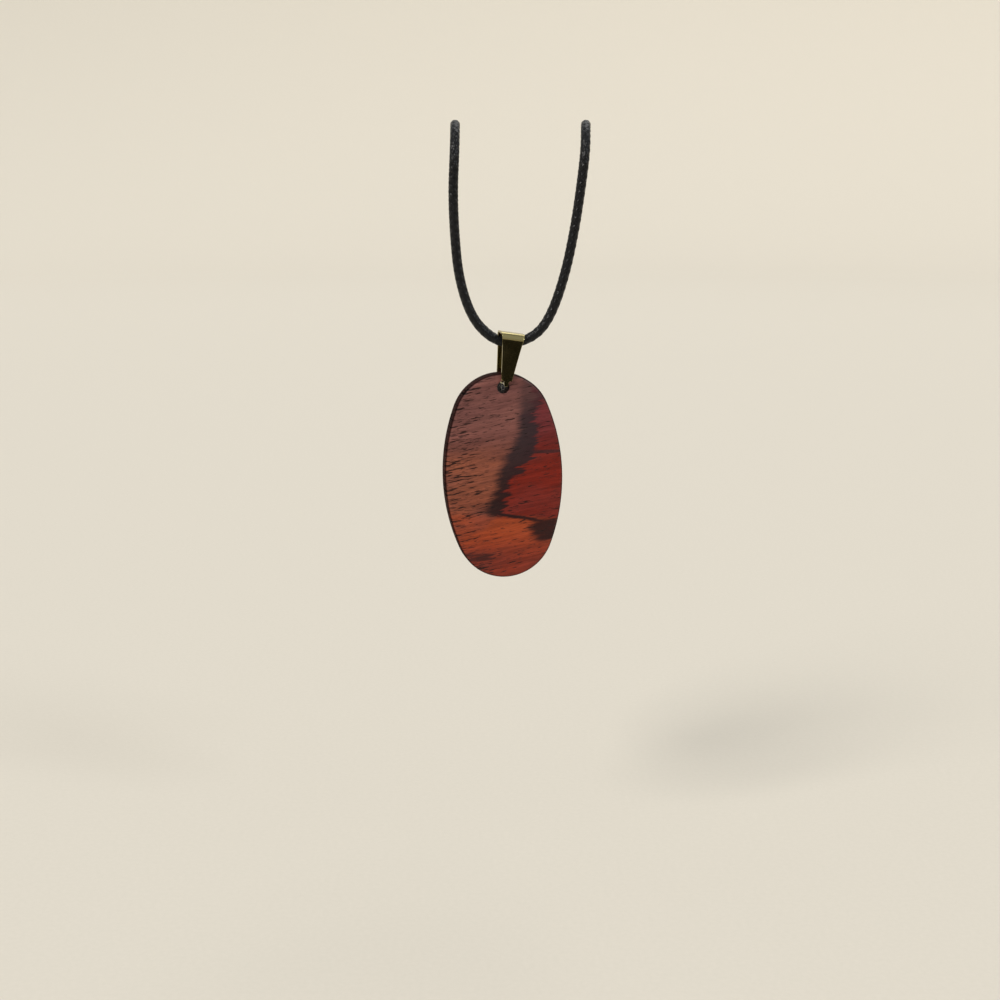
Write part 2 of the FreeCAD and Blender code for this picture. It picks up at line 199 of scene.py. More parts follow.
CORD_D = 0.002
left_route = [
    (-0.0019, 0.0, -0.0422), (-0.0062, -0.0006, -0.0409), (-0.01, -0.0003, -0.0366),
    (-0.0124, 0.0, -0.029), (-0.0132, 0.0, -0.0205), (-0.0135, 0.0, -0.012),
    (-0.0131, 0.0, -0.0042), (-0.0131, 0.0049, 0.0007), (-0.0133, 0.0126, 0.001),
    (-0.0135, 0.0203, 0.0007), (-0.0138, 0.0252, -0.0042), (-0.0142, 0.026, -0.0128),
    (-0.0139, 0.0263, -0.022), (-0.013, 0.0262, -0.0311), (-0.0104, 0.026, -0.0392),
    (-0.0064, 0.0285, -0.0438), (-0.0028, 0.0355, -0.0459), (-0.0026, 0.0389, -0.054),
    (-0.0046, 0.0364, -0.0614), (-0.0047, 0.0322, -0.0688), (-0.0049, 0.0364, -0.0758),
    (-0.0047, 0.0368, -0.084), (-0.0047, 0.0298, -0.0881), (-0.0047, 0.0228, -0.084),
    (-0.0049, 0.0231, -0.0758), (-0.0047, 0.0271, -0.069), (-0.0049, 0.0232, -0.0623),
    (-0.0047, 0.0229, -0.0543), (-0.0053, 0.0159, -0.0502), (-0.006, 0.0088, -0.0544),
    (-0.006, 0.0088, -0.0624),
]
right_route = [
    (-0.0019, 0.0, -0.0422), (0.0029, 0.0007, -0.0407), (0.006, 0.0004, -0.0366),
    (0.0087, 0.0001, -0.0286), (0.0105, 0.0, -0.0199), (0.0117, 0.0, -0.0117),
    (0.0126, 0.0, -0.0042), (0.0128, 0.0049, 0.0007), (0.0132, 0.0126, 0.001),
    (0.0135, 0.0203, 0.0007), (0.0137, 0.0252, -0.0042), (0.0128, 0.026, -0.0125),
    (0.0116, 0.0263, -0.0213), (0.0097, 0.0262, -0.0307), (0.0068, 0.0255, -0.0392),
    (0.0034, 0.0275, -0.0438), (-0.0025, 0.0325, -0.0464), (-0.0026, 0.0362, -0.054),
    (-0.002, 0.0354, -0.0614), (-0.0024, 0.0322, -0.0688), (-0.0022, 0.0364, -0.0758),
    (-0.0024, 0.0368, -0.084), (-0.0024, 0.0298, -0.0881), (-0.0024, 0.0228, -0.084),
    (-0.0022, 0.0231, -0.0758), (-0.0024, 0.0271, -0.069), (-0.0022, 0.0232, -0.0623),
    (-0.0024, 0.0229, -0.0543), (-0.0017, 0.0159, -0.0502), (-0.001, 0.0088, -0.0544),
    (-0.001, 0.0088, -0.0624),
]


def nurbs_line(points):
    """The points of the smooth line that has these control points."""
    curve = bpy.data.curves.new("line", "CURVE")
    curve.dimensions = "3D"
    curve.resolution_u = 24
    spline = curve.splines.new("NURBS")
    spline.points.add(len(points) - 1)
    for control, point in zip(spline.points, points):
        control.co = (*point, 1)
    spline.order_u = 3
    spline.use_endpoint_u = True
    holder = put_in("line", curve)
    mesh = bpy.data.meshes.new_from_object(holder)
    line = np.array([vertex.co[:] for vertex in mesh.vertices])
    bpy.data.objects.remove(holder)
    bpy.data.curves.remove(curve)
    bpy.data.meshes.remove(mesh)
    return line


def evenly(line, step):
    """The same line with its points about one step apart."""
    along = np.concatenate([[0], np.cumsum(np.linalg.norm(np.diff(line, axis=0), axis=1))])
    count = int(along[-1] / step) + 1
    wanted = np.linspace(0, along[-1], count)
    return np.stack([np.interp(wanted, along, line[:, i]) for i in range(3)], axis=1)


def tube_mesh(name, line, columns, radius):
    """A closed tube. radius(turn, along) gives its size, turn from 0 to 1 round the line."""
    ways = np.gradient(line, axis=0)
    ways /= np.linalg.norm(ways, axis=1)[:, None]
    side = Vector(ways[0]).orthogonal().normalized()
    sides = []
    for i, way in enumerate(ways):
        if i:
            side = Vector(ways[i - 1]).rotation_difference(Vector(way)) @ side
        sides.append(side[:])
    sides = np.array(sides)
    uprights = np.cross(ways, sides)
    rows = len(line)
    along = np.concatenate([[0], np.cumsum(np.linalg.norm(np.diff(line, axis=0), axis=1))])
    turn = np.arange(columns) / columns
    size = radius(turn[None, :], along[:, None])
    across = np.cos(math.tau * turn)[None, :, None] * sides[:, None, :]
    across += np.sin(math.tau * turn)[None, :, None] * uprights[:, None, :]
    points = (line[:, None, :] + across * size[:, :, None]).reshape(-1, 3)
    faces, uvs = [], []
    for row in range(rows - 1):
        low, high = row * columns, (row + 1) * columns
        for column in range(columns):
            after = (column + 1) % columns
            faces.append((low + column, low + after, high + after, high + column))
            u0, u1 = column / columns, (column + 1) / columns
            v0, v1 = along[row], along[row + 1]
            uvs += [(u0, v0), (u1, v0), (u1, v1), (u0, v1)]
    faces.append(tuple(range(columns - 1, -1, -1)))
    faces.append(tuple((rows - 1) * columns + i for i in range(columns)))
    uvs += [(0, 0)] * (2 * columns)
    mesh = bpy.data.meshes.new(name)
    mesh.from_pydata(points.tolist(), [], faces)
    layer = mesh.uv_layers.new(name="UVMap")
    layer.data.foreach_set("uv", np.array(uvs, dtype=np.float32).ravel())
    mesh.shade_smooth()
    return mesh


BRAID_STRANDS = 4  # each way round
BRAID_PITCH = 0.0068
BRAID_RELIEF = 0.00022
BRAID_CROWN = 0.92  # how round a strand is across, from 0, flat, to 1
BRAID_WEAVE = 0.4  # the share of its height that comes from passing over and under
CORD_STEP = 0.00019  # between its rings of points
CORD_COLUMNS = 32


def braid_radius(turn, along):
    """Strands that pass over and under each other, four each way round."""
    right = BRAID_STRANDS * (turn + along / BRAID_PITCH)
    left = BRAID_STRANDS * (turn - along / BRAID_PITCH)
    over = (np.floor(right) + np.floor(left)) % 2 * 2 - 1
    right, left = right % 1, left % 1
    crown_right = (1 - BRAID_WEAVE) * np.sqrt(1 - BRAID_CROWN * (2 * right - 1) ** 2)
    crown_left = (1 - BRAID_WEAVE) * np.sqrt(1 - BRAID_CROWN * (2 * left - 1) ** 2)
    high_right = crown_right + BRAID_WEAVE * over * np.sin(np.pi * left)
    high_left = crown_left - BRAID_WEAVE * over * np.sin(np.pi * right)
    return CORD_D / 2 - BRAID_RELIEF * (1 - np.maximum(high_right, high_left))


# The darker colour for the grooves between strands is painted shade, not the thread's colour.
CORD_GAP_SHADE, CORD_BLACK = (0.0015, 0.0015, 0.002, 1), (0.007, 0.007, 0.008, 1)
CORD_HAZE = (0.020, 0.021, 0.024, 1)  # where the wax has dulled
YARNS = 3  # side by side in a strand
cord_material, cord_tree, cord_shader = new_material(
    "waxed_cord", Coat_Weight=0.30, Coat_Roughness=0.10, Specular_IOR_Level=0.05)
cord_uv = node(cord_tree, "ShaderNodeUVMap").outputs[0]
cord_u, cord_v, _ = node(cord_tree, "ShaderNodeSeparateXYZ", [cord_uv]).outputs
turns = calc(cord_tree, "MULTIPLY", cord_u, BRAID_STRANDS)
rises = calc(cord_tree, "MULTIPLY", cord_v, BRAID_STRANDS / BRAID_PITCH)
right_way = calc(cord_tree, "ADD", turns, rises)
left_way = calc(cord_tree, "SUBTRACT", turns, rises)
cell = calc(cord_tree, "ADD", calc(cord_tree, "FLOOR", right_way),
            calc(cord_tree, "FLOOR", left_way))
right_over = calc(cord_tree, "FLOORED_MODULO", cell, 2.0)
across_right = calc(cord_tree, "FRACT", right_way)
across_left = calc(cord_tree, "FRACT", left_way)
across = node(cord_tree, "ShaderNodeMix", {
    0: right_over, 2: across_left, 3: across_right}).outputs[0]
yarn = calc(cord_tree, "SINE", calc(cord_tree, "MULTIPLY", across, math.tau * YARNS))
middle = calc(cord_tree, "PINGPONG", across, 0.5)
cord_place = node(cord_tree, "ShaderNodeTexCoord").outputs["Object"]
wax = node(cord_tree, "ShaderNodeTexNoise", {
    "Vector": cord_place, "Scale": 2200.0, "Detail": 3.0}).outputs[0]
# Painted shade: each strand darkens towards its edges, where it sinks into the grooves.
cord_black_groove_shade = tint(cord_tree, ease(cord_tree, middle, 0.02, 0.16), CORD_GAP_SHADE, CORD_BLACK)
haze = ease(cord_tree, wax, 0.55, 0.75)
cord_black_groove_shade = tint(cord_tree, calc(cord_tree, "MULTIPLY", haze, 0.5), cord_black_groove_shade, CORD_HAZE)
cord_tree.links.new(cord_black_groove_shade, cord_shader.inputs["Base Color"])
gloss = ease(cord_tree, wax, 0.35, 0.7, 0.26, 0.46)
cord_tree.links.new(gloss, cord_shader.inputs["Roughness"])
fibres = calc(cord_tree, "MULTIPLY_ADD", yarn, 0.35, calc(cord_tree, "MULTIPLY", wax, 1.4))
cord_bump = node(cord_tree, "ShaderNodeBump", {"Strength": 0.9, "Distance": 0.00005,
                                              "Height": fibres})
cord_tree.links.new(cord_bump.outputs[0], cord_shader.inputs["Normal"])
cord_tree.links.new(cord_bump.outputs[0], cord_shader.inputs["Coat Normal"])

cord_line = evenly(nurbs_line(left_route[::-1] + right_route[1:]), CORD_STEP)
cord_mesh = tube_mesh("braided_cord", cord_line, CORD_COLUMNS, braid_radius)
cord = add_piece("braided_cord", cord_mesh, cord_material)
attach(cord, "cord")
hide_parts("cord")

# ----------------------------------------------------------------------
# The pendant: a flat oval cut from one piece of dark-streaked rosewood, its edge rounded over by
# hand, drilled near the top and finished with an oil that leaves a satin gloss and open pores.

PENDANT_W, PENDANT_H, PENDANT_T = 0.0243, 0.042, 0.004
PENDANT_END_R = 0.010
PENDANT_EDGE_R = 0.0006
PENDANT_CROWN = 0.00010  # how much the faces rise towards their middle
PENDANT_LEAN = math.radians(2)
HANG_YAW = math.radians(12)
HOLE_R = 0.00125
HOLE_ROUND = 0.00018
HOLE_SIDE, HOLE_UP = -0.00025, PENDANT_H / 2 - 0.00276  # from the oval's centre
OUTLINE_POINTS = 384
MOUTH_STEPS, FACE_STEPS, EDGE_STEPS = 4, 32, 8
FACE_CROWD = 1.15  # over 1, the face's rings lie closer near the hole


def box_middle(name):
    """The middle of a CAD node's box."""
    low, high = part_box(name)
    return (Vector(low) + Vector(high)) / 2


pendant_centre = box_middle("pendant")
pendant_place = Matrix.Translation(pendant_centre) @ Matrix.Rotation(HANG_YAW, 4, "Z")


def oval_outline(count):
    """Evenly spaced points and outward normals on the oval of four arcs, in x and z."""
    half_w, end_z = PENDANT_W / 2, PENDANT_H / 2 - PENDANT_END_R
    side_r = (half_w ** 2 + end_z ** 2 - PENDANT_END_R ** 2) / (2 * (half_w - PENDANT_END_R))
    side_x = half_w - side_r
    join = math.atan2(end_z, -side_x)
    arcs = [
        ((side_x, 0), side_r, -join, join),
        ((0, end_z), PENDANT_END_R, join, math.pi - join),
        ((-side_x, 0), side_r, math.pi - join, math.pi + join),
        ((0, -end_z), PENDANT_END_R, math.pi + join, math.tau - join),
    ]
    lengths = [radius * (end - start) for _, radius, start, end in arcs]
    found = []
    for i in range(count):
        left = sum(lengths) * i / count
        for (centre, radius, start, end), length in zip(arcs, lengths):
            if left < length:
                break
            left -= length
        angle = start + left / radius
        normal = Vector((math.cos(angle), math.sin(angle)))
        point = Vector(centre) + radius * normal
        lean = Matrix.Rotation(PENDANT_LEAN, 2)
        found.append((lean @ point, lean @ normal))
    return found


def finished(name, mesh, angle=40):
    """Turns a bmesh into a mesh that shades smooth, but stays crisp at its sharp edges."""
    bmesh.ops.recalc_face_normals(mesh, faces=mesh.faces)
    made = bpy.data.meshes.new(name)
    mesh.to_mesh(made)
    mesh.free()
    made.shade_smooth()
    made.set_sharp_from_angle(angle=math.radians(angle))
    return made


def pendant_mesh():
    outline = oval_outline(OUTLINE_POINTS)
    hole = Vector((HOLE_SIDE, HOLE_UP))
    half_t = PENDANT_T / 2 - PENDANT_CROWN
    rings = []

    def crown(point):
        reach = (point.x / (PENDANT_W / 2)) ** 2 + (point.y / (PENDANT_H / 2)) ** 2
        return half_t + PENDANT_CROWN * max(0.0, 1 - reach * reach)

    def hole_ring(extra, depth):
        ring = []
        for point, _ in outline:
            out = hole + (point - hole).normalized() * (HOLE_R + extra)
            ring.append((out, crown(out) - depth))
        return ring

    for step in range(MOUTH_STEPS + 1):  # rounded mouth of the hole
        angle = math.pi / 2 * step / MOUTH_STEPS
        extra, depth = HOLE_ROUND * (1 - math.cos(angle)), HOLE_ROUND * (1 - math.sin(angle))
        rings.append(hole_ring(extra, depth))
    mouth = [point for point, _ in rings[-1]]
    for step in range(1, FACE_STEPS + 1):  # face
        share = (step / FACE_STEPS) ** FACE_CROWD
        ring = []
        for start, (point, normal) in zip(mouth, outline):
            spot = start.lerp(point - normal * PENDANT_EDGE_R, share)
            ring.append((spot, crown(spot)))
        rings.append(ring)
    for step in range(1, EDGE_STEPS + 1):  # rounded edge
        angle = math.pi / 2 * step / EDGE_STEPS
        ring = []
        for point, normal in outline:
            inner = point - normal * PENDANT_EDGE_R
            spot = inner + normal * PENDANT_EDGE_R * math.sin(angle)
            ring.append((spot, crown(inner) - PENDANT_EDGE_R * (1 - math.cos(angle))))
        rings.append(ring)
    front = [[(p.x, -y, p.y) for p, y in ring] for ring in rings]
    back = [[(p.x, y, p.y) for p, y in ring] for ring in reversed(rings)]
    rings = front + back
    mesh = bmesh.new()
    made = [[mesh.verts.new(pendant_place @ Vector(spot)) for spot in ring] for ring in rings]
    for ring, after in zip(made, made[1:] + made[:1]):
        for i in range(len(ring)):
            j = (i + 1) % len(ring)
            mesh.faces.new((ring[i], ring[j], after[j], after[i]))
    return finished("wood_pendant", mesh, 180)


GRAIN_TILT = math.radians(10)
GRAIN_TEETH = 9.0  # how far the streak's edge runs out along the grain, in millimetres
# The upper brown is rosier and lighter: partly the wood's tone, partly a painted sheen.
BROWN_LOW, BROWN_SHEEN_HIGH = (0.220, 0.058, 0.030, 1), (0.200, 0.078, 0.066, 1)
BROWN_MIDDLE = (0.258, 0.076, 0.040, 1)
RED_LOW, RED_HIGH = (0.175, 0.015, 0.008, 1), (0.140, 0.025, 0.028, 1)
FOOT_LOW, FOOT_HIGH = (0.200, 0.026, 0.012, 1), (0.330, 0.056, 0.016, 1)
CLOUD_BROWN, PORE_DARK = (0.100, 0.036, 0.036, 1), (0.014, 0.005, 0.004, 1)
STREAK_LOW, STREAK_HIGH = (0.014, 0.006, 0.007, 1), (0.030, 0.019, 0.023, 1)
# Painted shade: the rounded edge takes only this share of the faces' colour.
FLANK_PAINTED_SHADE = (0.12, 0.08, 0.08)  # the cut edge's share of the faces' colour
wood, wood_tree, wood_shader = new_material("oiled_rosewood", Coat_Roughness=0.20)
wood_place = node(wood_tree, "ShaderNodeTexCoord").outputs["Object"]
unturn = Matrix.Rotation(-HANG_YAW, 3, "Z")
wood_local = node(wood_tree, "ShaderNodeMapping", {
    "Vector": wood_place, "Scale": (1000, 1000, 1000), "Rotation": (0, 0, -HANG_YAW),
    "Location": unturn @ pendant_centre * -1000}).outputs[0]
wood_x, wood_y, wood_z = node(wood_tree, "ShaderNodeSeparateXYZ", [wood_local]).outputs


def grain_noise(along, across, seed, detail=2.0, tilt=GRAIN_TILT):
    """Noise drawn out along the grain, with its scale each way in cycles a millimetre."""
    turned = node(wood_tree, "ShaderNodeMapping", {
        "Vector": wood_local, "Rotation": (0, tilt, 0), "Location": (seed, 0, seed)}).outputs[0]
    drawn = node(wood_tree, "ShaderNodeMapping", {
        "Vector": turned, "Scale": (along, 0.25, across)}).outputs[0]
    return node(wood_tree, "ShaderNodeTexNoise", {
        "Vector": drawn, "Scale": 1.0, "Detail": detail, "Roughness": 0.55}).outputs[0]


CURVE_UP, CURVE_SIDE = 21, 12  # how far its curves reach from the centre, in millimetres


def wood_curve(value, points):
    """A smooth curve over the pendant's height, both ways in millimetres."""
    share = node(wood_tree, "ShaderNodeMapRange", (value, -CURVE_UP, CURVE_UP, 0, 1)).outputs[0]
    made = node(wood_tree, "ShaderNodeFloatCurve", {"Value": share})
    curve = made.mapping.curves[0]
    spots = [((z / CURVE_UP + 1) / 2, (x / CURVE_SIDE + 1) / 2) for z, x in points]
    curve.points[0].location = spots[0]
    curve.points[1].location = spots[-1]
    for spot in spots[1:-1]:
        curve.points.new(*spot)
    made.mapping.update()
    reach = (made.outputs[0], 0, 1, -CURVE_SIDE, CURVE_SIDE)
    return node(wood_tree, "ShaderNodeMapRange", reach).outputs[0]


# The dark streak: its middle line and its half width by height, with an edge that runs out
# along the grain in teeth on its right and is soft on its left.
teeth = grain_noise(0.13, 1.25, 3.1, 4.0)
teeth = calc(wood_tree, "MULTIPLY", calc(wood_tree, "SUBTRACT", teeth, 0.5), GRAIN_TEETH)
jagged_x = calc(wood_tree, "ADD", wood_x, teeth)
streak_x = wood_curve(wood_z, [
    (-21, -2.6), (-8, -2.3), (-5.6, -1.9), (-3.4, -0.6), (-1.0, -0.2), (0.9, 1.2), (2.6, 2.2),
    (4.8, 2.9), (7.4, 4.6), (11.7, 5.1), (15, 5.5), (21, 6.4)])
streak_half = wood_curve(wood_z, [
    (-21, 1.2), (-7, 1.5), (-4, 1.3), (-1.2, 1.2), (2, 2.3), (7, 2.1), (11.5, 1.6), (15, 2.0),
    (21, 2.4)])
off = calc(wood_tree, "SUBTRACT", jagged_x, streak_x)
right_away = calc(wood_tree, "SUBTRACT", off, streak_half)
left_away = calc(wood_tree, "MULTIPLY_ADD", teeth, -0.55, off)
left_away = calc(wood_tree, "ADD", left_away, streak_half)
streak = calc(wood_tree, "MULTIPLY", ease(wood_tree, right_away, 0.70, -0.45),
              ease(wood_tree, left_away, -1.5, 0.9))
streak = calc(wood_tree, "MULTIPLY", streak, ease(wood_tree, wood_z, 19, 11, 0.55, 1.0))
streak_low = ease(wood_tree, calc(wood_tree, "MULTIPLY_ADD", teeth, 0.15, wood_z), -8.6, -7.6)
streak = calc(wood_tree, "MULTIPLY", streak, streak_low)

# The wood's body: brown on the streak's left, red on its right, and warmer at the foot.
right_side = ease(wood_tree, off, -0.6, 1.2)
# Partly painted sheen: the left turns rosier and a little lighter towards the top.
height_left = ease(wood_tree, wood_z, -9, 14)
left_colour = tint(wood_tree, height_left, BROWN_LOW, BROWN_SHEEN_HIGH)
from_middle = calc(wood_tree, "ABSOLUTE", calc(wood_tree, "ADD", wood_z, -1.0))
left_colour = tint(wood_tree, ease(wood_tree, from_middle, 8, 0), left_colour, BROWN_MIDDLE)
height_right = ease(wood_tree, wood_z, 3, 12)
right_colour = tint(wood_tree, height_right, RED_LOW, RED_HIGH)
body_colour = tint(wood_tree, right_side, left_colour, right_colour)
line_z = calc(wood_tree, "MULTIPLY_ADD", wood_x, -0.21, -7.85)
line_gap = calc(wood_tree, "SUBTRACT", wood_z, line_z)
line_gap = calc(wood_tree, "MULTIPLY_ADD", teeth, 0.10, line_gap)
foot = ease(wood_tree, calc(wood_tree, "MULTIPLY_ADD", wood_x, -0.12, line_gap), 0.4, -1.4)
foot_colour = tint(wood_tree, ease(wood_tree, wood_z, -18, -9), FOOT_LOW, FOOT_HIGH)
body_colour = tint(wood_tree, foot, body_colour, foot_colour)

# Clouds, bands and fibres, all drawn out along the grain.
cloud = grain_noise(0.07, 0.22, 7.7)
cloud_shade = ease(wood_tree, cloud, 0.35, 0.68)
cloud_share = ease(wood_tree, right_side, 0, 1, 0.42, 0.16)
cloudy = calc(wood_tree, "MULTIPLY", cloud_shade, cloud_share)
body_colour = tint(wood_tree, cloudy, body_colour, CLOUD_BROWN)
bands = grain_noise(0.10, 1.4, 1.3, 3.0)
band_shade = ease(wood_tree, bands, 0.30, 0.72, 0.78, 1.18)
fibre = grain_noise(0.45, 9.0, 5.9)
fibre_shade = ease(wood_tree, fibre, 0.25, 0.75, 0.82, 1.15)
shade_all = calc(wood_tree, "MULTIPLY", band_shade, fibre_shade)
shaded = node(wood_tree, "ShaderNodeVectorMath", {0: body_colour, 1: shade_all},
              operation="MULTIPLY").outputs[0]

# The thin dark line that crosses above the foot, and the soft dark patches.
line = ease(wood_tree, calc(wood_tree, "ABSOLUTE", line_gap), 0.55, 0.15)
line = calc(wood_tree, "MULTIPLY", line, ease(wood_tree, wood_x, -2.6, -1.2))
line = calc(wood_tree, "MULTIPLY", line, ease(wood_tree, wood_x, 9.5, 8.0))


def dark_patch(x, z, wide, high, noisy, depth=1.0):
    """A soft dark patch at a place on the face, in millimetres."""
    side = calc(wood_tree, "DIVIDE", calc(wood_tree, "SUBTRACT", wood_x, x), wide)
    up = calc(wood_tree, "DIVIDE", calc(wood_tree, "SUBTRACT", wood_z, z), high)
    square = calc(wood_tree, "ADD", calc(wood_tree, "MULTIPLY", side, side),
                  calc(wood_tree, "MULTIPLY", up, up))
    square = calc(wood_tree, "MULTIPLY_ADD", teeth, noisy, square)
    return ease(wood_tree, square, 1.5, 0.25, 0.0, depth)


dark = streak
for patch in (line, dark_patch(8.6, -11.2, 3.6, 2.7, 0.30),
              dark_patch(-5.2, -16.6, 3.6, 0.9, 0.60, 0.80),
              dark_patch(9.0, 4.9, 5.0, 0.35, 0.25, 0.8),
              dark_patch(8.2, 17.2, 2.2, 1.9, 0.30, 0.75)):
    dark = calc(wood_tree, "MAXIMUM", dark, patch)
dark = calc(wood_tree, "MULTIPLY", dark, 0.93)
dark_colour = tint(wood_tree, ease(wood_tree, wood_z, -6, 10), STREAK_LOW, STREAK_HIGH)
streaked = tint(wood_tree, dark, shaded, dark_colour)

# Open pores, large and small, which crowd together towards the left.
pore_field = grain_noise(0.42, 3.6, 11.3, 1.0)
pore_fine = grain_noise(0.75, 6.5, 17.9, 1.0, GRAIN_TILT * 0.7)
crowd = ease(wood_tree, wood_x, 0.0, -9.5, 0.0, 0.075)
pores = ease(wood_tree, calc(wood_tree, "ADD", pore_field, crowd), 0.65, 0.715)
pores_small = ease(wood_tree, calc(wood_tree, "ADD", pore_fine, crowd), 0.66, 0.74)
pores = calc(wood_tree, "MAXIMUM", pores, calc(wood_tree, "MULTIPLY", pores_small, 0.7))
pored = tint(wood_tree, calc(wood_tree, "MULTIPLY", pores, 0.92), streaked, PORE_DARK)

# The rounded edge is painted darker than the faces, as painted shade, and is duller than the oiled
# faces.
flank = ease(wood_tree, calc(wood_tree, "ABSOLUTE", wood_y), 1.90, 1.62)
flank_painted_shade = node(wood_tree, "ShaderNodeVectorMath", {0: pored, 1: FLANK_PAINTED_SHADE},
                   operation="MULTIPLY").outputs[0]
wood_colour = tint(wood_tree, flank, pored, flank_painted_shade)
wood_tree.links.new(wood_colour, wood_shader.inputs["Base Color"])
wood_gloss = ease(wood_tree, cloud, 0.3, 0.7, 0.34, 0.46)
wood_gloss = calc(wood_tree, "MULTIPLY_ADD", pores, 0.25, wood_gloss)
wood_gloss = calc(wood_tree, "MULTIPLY_ADD", flank, 0.28, wood_gloss)
wood_tree.links.new(ease(wood_tree, flank, 0, 1, 0.12, 0.0), wood_shader.inputs["Coat Weight"])
wood_tree.links.new(ease(wood_tree, flank, 0, 1, 0.14, 0.04),
                    wood_shader.inputs["Specular IOR Level"])
wood_tree.links.new(wood_gloss, wood_shader.inputs["Roughness"])
relief = calc(wood_tree, "MULTIPLY_ADD", fibre, 0.12, calc(wood_tree, "MULTIPLY", pores, -1.0))
wood_bump = node(wood_tree, "ShaderNodeBump", {"Strength": 0.8, "Distance": 0.00005,
                                              "Height": relief}).outputs[0]
wood_tree.links.new(wood_bump, wood_shader.inputs["Normal"])

pendant = add_piece("wood_pendant", pendant_mesh(), wood)
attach(pendant, "pendant")
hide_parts("pendant")

# ----------------------------------------------------------------------
# The bail: one strip of brass, folded over the cord and tapered to two round prongs that snap
# into the pendant's hole. It is polished and gold plated, with hairline scratches from handling.

BAIL_TOP_W, BAIL_LOW_W, BAIL_TIP_W = 0.0050, 0.0022, 0.0009
BAIL_LOW_Z, BAIL_NECK_Z, BAIL_TIP_Z = 0.00075, 0.00035, -0.0004  # above the prongs
BAIL_BEND_R = 0.0015  # outside, at each side of the top
BAIL_SHEET = 0.00035
BAIL_HALF = PENDANT_T / 2 + 0.0001  # inside, from its middle to a leaf
BAIL_HEIGHT = 0.01028
BAIL_TILT = math.radians(9)
BAIL_EDGE = 0.00007  # its edges are eased by this much
BAIL_COLUMNS, NECK_ROWS, LEAF_ROWS, BEND_ROWS = 12, 24, 30, 16
PRONG_R = 0.00035
PRONG_TIP_Y = 0.00012  # half the gap between the two prongs' tips
PRONG_SIDES = 24
PRONG_SIDE = 0.00045  # from the middle of the hole
PRONG_UP = math.sqrt((HOLE_R - PRONG_R - 0.0001) ** 2 - PRONG_SIDE ** 2)
prong_place = pendant_place @ Vector((HOLE_SIDE + PRONG_SIDE, 0, HOLE_UP + PRONG_UP))
bail_place = (Matrix.Translation(prong_place) @ Matrix.Rotation(HANG_YAW, 4, "Z")
              @ Matrix.Rotation(BAIL_TILT, 4, "Y"))


def plating_wear():
    """Hairline scratches and smudges for plated metal, from places in metres."""
    group = bpy.data.node_groups.new("plating_wear", "ShaderNodeTree")
    for name, kind in (("Place", "NodeSocketVector"), ("Scratches", "NodeSocketFloat"),
                       ("Smudges", "NodeSocketFloat")):
        group.interface.new_socket(name=name, in_out="INPUT", socket_type=kind)
    for name in ("Tone", "Roughness", "Height"):
        group.interface.new_socket(name=name, in_out="OUTPUT", socket_type="NodeSocketFloat")
    given = group.nodes.new("NodeGroupInput").outputs
    asked = group.nodes.new("NodeGroupOutput")
    lines = None
    for turn in (0.5, -0.9, 2.1):
        turned = node(group, "ShaderNodeMapping", {
            "Vector": given["Place"], "Rotation": (turn, turn * 0.7, turn * 1.3)}).outputs[0]
        drawn = node(group, "ShaderNodeMapping", {
            "Vector": turned, "Scale": (260, 9000, 260)}).outputs[0]
        noise = node(group, "ShaderNodeTexNoise", {
            "Vector": drawn, "Scale": 1.0, "Detail": 1.0}).outputs[0]
        hair = ease(group, noise, 0.62, 0.70)
        lines = hair if lines is None else calc(group, "MAXIMUM", lines, hair)
    lines = calc(group, "MULTIPLY", lines, given["Scratches"])
    smudge = node(group, "ShaderNodeTexNoise", {
        "Vector": given["Place"], "Scale": 420.0, "Detail": 4.0}).outputs[0]
    grit = node(group, "ShaderNodeTexNoise", {
        "Vector": given["Place"], "Scale": 5200.0, "Detail": 2.0}).outputs[0]
    smudge = calc(group, "MULTIPLY", ease(group, smudge, 0.35, 0.75), given["Smudges"])
    specks = calc(group, "MULTIPLY", ease(group, grit, 0.66, 0.76), given["Scratches"])
    links = group.links
    tone = calc(group, "MULTIPLY_ADD", smudge, -0.35, 1.0)
    links.new(calc(group, "MULTIPLY_ADD", lines, -0.10, tone), asked.inputs["Tone"])
    rough = calc(group, "MULTIPLY_ADD", lines, 0.15, calc(group, "MULTIPLY", smudge, 0.16))
    links.new(calc(group, "MULTIPLY_ADD", specks, 0.2, rough), asked.inputs["Roughness"])
    links.new(calc(group, "MULTIPLY_ADD", specks, 0.8, calc(group, "MULTIPLY", lines, -1.0)),
              asked.inputs["Height"])
    return group


wear_group = plating_wear()


def plated_metal(name, bright, dull, polish, scratches, smudges):
    """Polished metal with handling wear. dull is its colour where it is smudged."""
    made, tree, shader = new_material(name, Metallic=1.0)
    place = node(tree, "ShaderNodeTexCoord").outputs["Object"]
    wear = node(tree, "ShaderNodeGroup", node_tree=wear_group)
    tree.links.new(place, wear.inputs["Place"])
    wear.inputs["Scratches"].default_value = scratches
    wear.inputs["Smudges"].default_value = smudges
    colour = tint(tree, wear.outputs["Tone"], dull, bright)
    tree.links.new(colour, shader.inputs["Base Color"])
    tree.links.new(calc(tree, "ADD", wear.outputs["Roughness"], polish), shader.inputs["Roughness"])
    bump = node(tree, "ShaderNodeBump", {"Strength": 0.35, "Distance": 0.00001,
                                         "Height": wear.outputs["Height"]}).outputs[0]
    tree.links.new(bump, shader.inputs["Normal"])
    return made


# Darker than the findings' gold: partly its own plating, partly painted shade in its reflections.
bail_gold_shaded = plated_metal(
    "bail_gold_shaded", (0.40, 0.34, 0.155, 1), (0.27, 0.22, 0.10, 1), 0.10, 0.4, 0.22)


